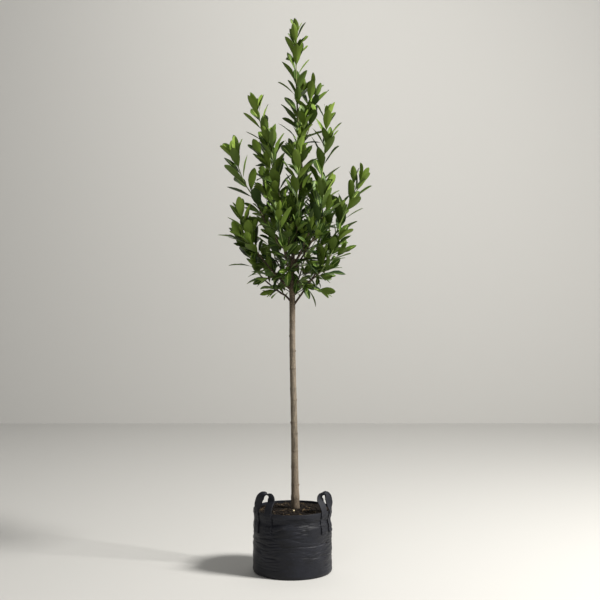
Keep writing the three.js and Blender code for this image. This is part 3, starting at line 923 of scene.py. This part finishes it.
soil_profile = [(r * (soil_high.x - 0.001), soil_high.z) for r in np.linspace(0, 1, COMPOST_RINGS) ** 0.8]
soil_rim = soil_top[:, 2].min()
soil_profile += [(soil_high.x, z) for z in np.linspace(soil_rim - 0.004, soil_low.z, 30)]
soil_profile += [(r, soil_low.z) for r in np.linspace(soil_high.x, 0, 8)[1:]]
soil = spun(soil_profile, COMPOST_STEPS, False)
for v in soil.verts:
    reach, bearing = math.hypot(v.co.x, v.co.y), math.atan2(v.co.y, v.co.x)
    if v.co.z > soil_high.z - 1e-4:
        v.co = polar(reach * (soil_edge(soil_rim, bearing) / soil_high.x), bearing, 0)
        v.co.z = soil_height(v.co.x, v.co.y)
    elif reach > soil_high.x - 1e-4:
        v.co = polar(min(soil_edge(v.co.z, bearing), soil_high.x), bearing, v.co.z)
    else:
        v.co = polar(min(reach, soil_edge(soil_low.z, bearing)), bearing, v.co.z)


def crumb_material(name, dark, light, grain_mm, rough=0.95):
    """Bark, wood or peat broken small: its colour changes from grain to grain, with hardly any shine."""
    material, tree, shader = new_material(name, Roughness=rough, Specular_IOR_Level=0.12)
    place = put(tree, "TexCoord").outputs["Object"]
    scale = 1000 / grain_mm
    grains = put(tree, "TexNoise", {"Vector": place, "Scale": scale, "Detail": 5, "Roughness": 0.65})
    put(tree, "ValToRGB", {"Fac": grains}, shader.inputs["Base Color"], [(0.36, dark), (0.64, light)])
    put(tree, "Bump", {"Height": grains, "Strength": 0.8, "Distance": 0.0012}, shader.inputs["Normal"])
    return material


peat = crumb_material("moist peat compost, crumbled", "#0b0908", "#1d1814", 5)
soil_piece = piece_from(soil, "compost_body", peat)
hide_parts("compost")

# ---- Bark chips ----
# Screened bark and a few bits of pale wood, broken rather than cut, lie loose on the compost. Each is a
# small uneven block.
CHIPS = {"bark_dark": (460, "#15110e", "#28211c"), "bark_brown": (230, "#231e19", "#3b332c"),
         "wood_pale": (40, "#5c5044", "#7a6c59")}
CHIP_LENGTH = (0.003, 0.013)
CHIP_SPREAD, CHIP_CLEAR = 0.176, 0.026  # how far out they lie, and how near the stem's middle
chip = bmesh.new()
bmesh.ops.create_cube(chip, size=1)
bmesh.ops.bevel(chip, geom=chip.edges[:], offset=0.16, segments=1, profile=0.5, affect="EDGES", material=-1)
chip_points, chip_faces = taken_from(chip)
crumb_rng = np.random.default_rng(5)
for kind, (count, dark, light) in CHIPS.items():
    chips = []
    for _ in range(count):
        reach, bearing = CHIP_SPREAD * math.sqrt(crumb_rng.random()), crumb_rng.uniform(0, 2 * math.pi)
        x, y, _ = polar(reach, bearing, 0)
        if from_stem(x, y) < CHIP_CLEAR:
            continue
        length = crumb_rng.uniform(*CHIP_LENGTH) * (0.7 if kind == "wood_pale" else 1)
        size = length * np.array((1, crumb_rng.uniform(0.3, 0.75), crumb_rng.uniform(0.12, 0.4)))
        uneven = chip_points * (1 + crumb_rng.uniform(-0.22, 0.22, chip_points.shape)) * size
        spin, tilt = crumb_rng.uniform(0, 2 * math.pi), crumb_rng.uniform(-0.5, 0.5)
        turn = np.array(Matrix.Rotation(spin, 3, "Z") @ Matrix.Rotation(-tilt, 3, "Y"))
        chips.append(uneven @ turn.T + (x, y, soil_height(x, y) + size[2] * 0.25))
    points = np.vstack(chips)
    faces = repeated(chip_faces, len(chip_points), len(chips))
    chip_skin = crumb_material("composted " + kind, dark, light, 4)
    add_piece("compost_" + kind, points, faces, [chip_skin], smooth=False)

# ---- Fibres and root end ----
# Dry fine roots and plant fibres lie on the compost as they fell, and one bent root end stands out of it in
# front of the stem.
FIBRES = {"count": 46, "spread": 0.17, "edge": 0.178, "step": 0.006}
ROOT_END = ((0.046, -0.066, -0.004), (0.049, -0.064, 0.006), (0.056, -0.058, 0.010), (0.062, -0.050, 0.004),
            (0.066, -0.044, -0.003))  # along X and Y, and above the compost
fibre_rng = random.Random(29)
fibres = []
for _ in range(FIBRES["count"]):
    reach = FIBRES["spread"] * math.sqrt(fibre_rng.random())
    x, y, _ = polar(reach, fibre_rng.uniform(0, 2 * math.pi), 0)
    heading = fibre_rng.uniform(0, 2 * math.pi)
    knots = []
    for k in range(5):
        z = soil_height(x, y) + 0.0012 + 0.0022 * math.sin(k * 1.3) * fibre_rng.random()
        knots.append((x, y, z))
        heading += fibre_rng.uniform(-0.6, 0.6)
        x, y = x + FIBRES["step"] * math.cos(heading), y + FIBRES["step"] * math.sin(heading)
        if math.hypot(x, y) > FIBRES["edge"]:
            break
    if len(knots) > 2:
        fibres.append((smooth_line(knots, 13), 0.0005, 0.0003))
root_knots = [(x, y, soil_height(x, y) + z) for x, y, z in ROOT_END]
fibres.append((smooth_line(root_knots, 13), 0.0019, 0.0012))
fibre_skin = crumb_material("dry root fibre", "#6b5540", "#a58e6c", 3, 0.8)
add_tubes("compost_fibres_and_root", fibres, 6, fibre_skin)

# ---- Cut stub ----
# A sucker was cut off short in front of the stem with a saw: bark round it, and the clean pale wood of the
# cut, which slants down to the front.
CUT_SLANT = 0.9  # the cut's rise from front to back, for each metre
stub_low, stub_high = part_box("cut_stub")
stub_middle = (stub_low + stub_high) / 2
stub_radius = (stub_high.x - stub_low.x) / 2
stub_tall = stub_high.z - stub_low.z
stub_profile = [(0, stub_low.z), (stub_radius, stub_low.z)]
stub_profile += [(stub_radius * (1 - 0.04 * k), stub_low.z + stub_tall * k / 5) for k in range(1, 5)]
stub_profile += [(stub_radius * 0.84, stub_high.z - 0.0006), (stub_radius * 0.74, stub_high.z)]
stub_profile += [(0, stub_high.z)]
stub = spun(stub_profile, 28, False)
for v in stub.verts:
    bearing = math.atan2(v.co.y, v.co.x)
    rough = 1 + 0.06 * noise.noise(Vector(polar(2, bearing, v.co.z * 200)))
    drop = CUT_SLANT * (stub_radius - v.co.y) * eased(v.co.z, stub_low.z, stub_high.z)
    v.co = (v.co.x * rough + stub_middle.x, v.co.y * rough + stub_middle.y, v.co.z - drop)
stub.normal_update()
for face in stub.faces:
    face.material_index = int(face.normal.z > 0.5)
cut_face = crumb_material("fresh laurel wood, cut with a saw", "#dccb9c", "#f0e4c0", 2.5, 0.75)
stub_piece = piece_from(stub, "cut_stub_wood", bough_bark, cut_face)
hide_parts("cut_stub")

# ---- Camera, floor and light ----
# The camera stands 5 m in front, level. A large soft lamp on the right, two weaker ones and a dim sky light
# the tree against a pale floor and a wall of the same paint, 6 m behind.
EYE = {"distance": 5.04, "height": 1.30, "aside": 0.036, "focal_mm": 62.9}
camera_data = bpy.data.cameras.new("camera")
camera_data.lens = EYE["focal_mm"]
camera_data.sensor_width = 36
camera = in_scene("camera", camera_data)
camera.location = (EYE["aside"], -EYE["distance"], EYE["height"])
camera.rotation_euler = (math.radians(90), 0, 0)
bpy.context.scene.camera = camera

FLOOR_HALF = 30
BACKDROP = Matrix.Translation((0, 6.0, 0)) @ Matrix.Rotation(math.radians(90), 4, "X")
floor_mesh = bpy.data.meshes.new("floor")
bm = bmesh.new()
for place in (Matrix.Identity(4), BACKDROP):
    bmesh.ops.create_grid(bm, x_segments=1, y_segments=1, size=FLOOR_HALF, matrix=place)
bm.to_mesh(floor_mesh)
bm.free()
floor_paint, _, _ = new_material("pale studio floor", Base_Color=linear("#c9c8c5"), Roughness=0.9)
floor_mesh.materials.append(floor_paint)
floor = in_scene("floor", floor_mesh)

LAMPS = {  # place, what it points at, width, power
    "key": ((4.6, -1.9, 4.9), (0, 0, 1.4), 1.4, 760),
    "fill": ((-1.4, -5.4, 3.4), (0, 0, 1.4), 2.4, 50),
    "backdrop": ((0, 2.6, 5.4), (0, 6.0, 1.2), 4.0, 70),
}
for name, (place, aim, width, power) in LAMPS.items():
    lamp_data = bpy.data.lights.new(name, "AREA")
    lamp_data.size = width
    lamp_data.energy = power
    lamp_data.color = (1, 0.98, 0.94)
    lamp = in_scene(name, lamp_data)
    lamp.location = place
    lamp.rotation_euler = (Vector(aim) - Vector(place)).to_track_quat("-Z", "Y").to_euler()

world = bpy.data.worlds.new("soft sky")
world.use_nodes = True
sky = world.node_tree.nodes["Background"]
sky.inputs["Color"].default_value = linear("#e2e4e6")
sky.inputs["Strength"].default_value = 0.17
bpy.context.scene.world = world
bpy.context.scene.view_settings.view_transform = "Standard"
